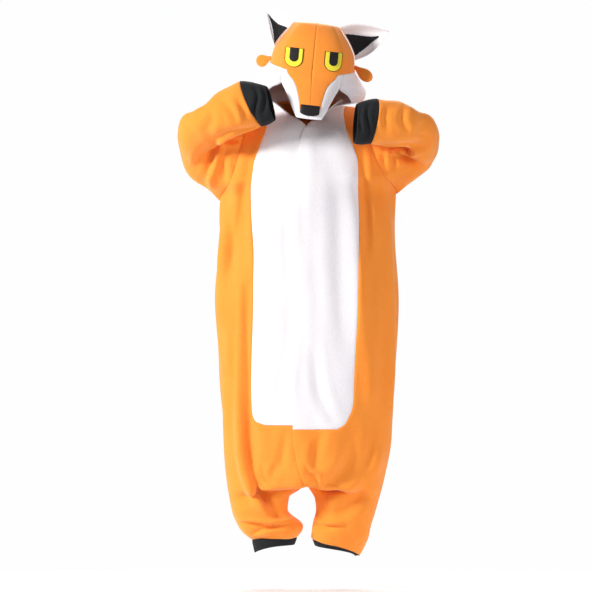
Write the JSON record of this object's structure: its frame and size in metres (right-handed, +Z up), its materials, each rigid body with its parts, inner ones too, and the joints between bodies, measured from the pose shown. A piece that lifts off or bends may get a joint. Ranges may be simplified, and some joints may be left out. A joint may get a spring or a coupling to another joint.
{
  "type": "fox onesie",
  "caption": "Loose hooded fleece jumpsuit made as a fox: white belly, black cuffs, fox-head hood with muzzle visor and ears, worn with arms bent to the cheeks",
  "frame": {"origin": "on the garment's midline at shoulder height, where the wearer carries it", "axes": "+Z up, the wearer faces -Y, +X is the wearer's left"},
  "size_m": [0.7496, 0.3766, 1.5643],
  "materials": {
    "orange_fleece": "matte brushed fleece",
    "white_fleece": "matte brushed fleece",
    "black_fleece": "matte brushed fleece",
    "black_rib": "matte knitted fleece cuff",
    "black_felt": "matte felt",
    "brown_felt": "matte felt",
    "yellow_felt": "matte felt"
  },
  "bodies": {
    "root": {"left_ankle_cuff": "black_rib", "left_back": "orange_fleece", "left_belly": "white_fleece", "left_cheek": "white_fleece", "left_ear_lining": "black_fleece", "left_ear_shell": "white_fleece", "left_eye_rim": "brown_felt", "left_eye_yellow": "yellow_felt", "left_front": "orange_fleece", "left_hood": "orange_fleece", "left_pupil": "black_felt", "left_sleeve": "orange_fleece", "left_tuft": "orange_fleece", "left_wrist_cuff": "black_rib", "nose": "black_felt", "right_ankle_cuff": "black_rib", "right_back": "orange_fleece", "right_belly": "white_fleece", "right_cheek": "white_fleece", "right_ear_lining": "black_fleece", "right_ear_shell": "white_fleece", "right_eye_rim": "brown_felt", "right_eye_yellow": "yellow_felt", "right_front": "orange_fleece", "right_hood": "orange_fleece", "right_pupil": "black_felt", "right_sleeve": "orange_fleece", "right_tuft": "orange_fleece", "right_wrist_cuff": "black_rib"}
  },
  "joints": []
}
